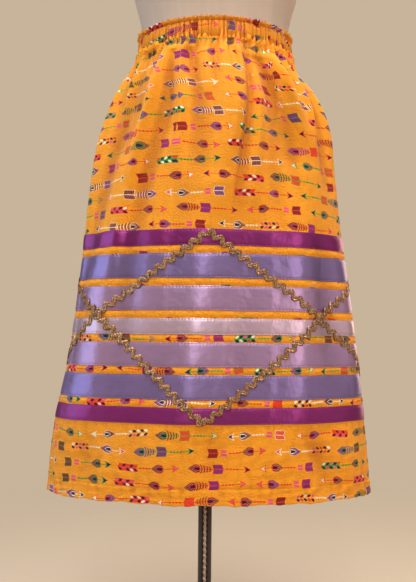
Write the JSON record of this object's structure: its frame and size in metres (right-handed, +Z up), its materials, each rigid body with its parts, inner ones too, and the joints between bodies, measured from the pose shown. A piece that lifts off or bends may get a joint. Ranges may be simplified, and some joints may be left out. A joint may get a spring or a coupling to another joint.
{
  "type": "ribbon skirt on a dress form",
  "caption": "Gathered A-line ribbon skirt of printed orange cotton with satin ribbon bands and crossing rickrack, worn on a limbless dress form with a steel stand.",
  "frame": {"origin": "on the floor, under the middle of the stand's base", "axes": "+Z up along the stand's pole, -Y out of the skirt's centre front, +X to the right of someone who looks at the front"},
  "size_m": [0.5448, 0.34, 1.5],
  "materials": {
    "printed_cotton": "plain-woven cotton printed with small arrows, matte",
    "magenta_satin": "satin ribbon",
    "violet_satin": "satin ribbon",
    "lilac_satin": "satin ribbon",
    "pale_lilac_satin": "satin ribbon",
    "metallic_rickrack": "braided rickrack with metallic thread",
    "form_cover": "knitted cover over a hard form, matte",
    "black_steel": "black paint, satin"
  },
  "bodies": {
    "root": {"skirt_front": "printed_cotton", "skirt_back": "printed_cotton", "waistband_casing": "printed_cotton", "ribbon_1_magenta": "magenta_satin", "ribbon_2_violet": "violet_satin", "ribbon_3_lilac": "lilac_satin", "ribbon_4_pale": "pale_lilac_satin", "ribbon_5_lilac": "lilac_satin", "ribbon_6_violet": "violet_satin", "ribbon_7_magenta": "magenta_satin", "rickrack_a": "metallic_rickrack", "rickrack_b": "metallic_rickrack", "form_torso": "form_cover", "stand_pole": "black_steel", "stand_base": "black_steel"}
  },
  "joints": []
}
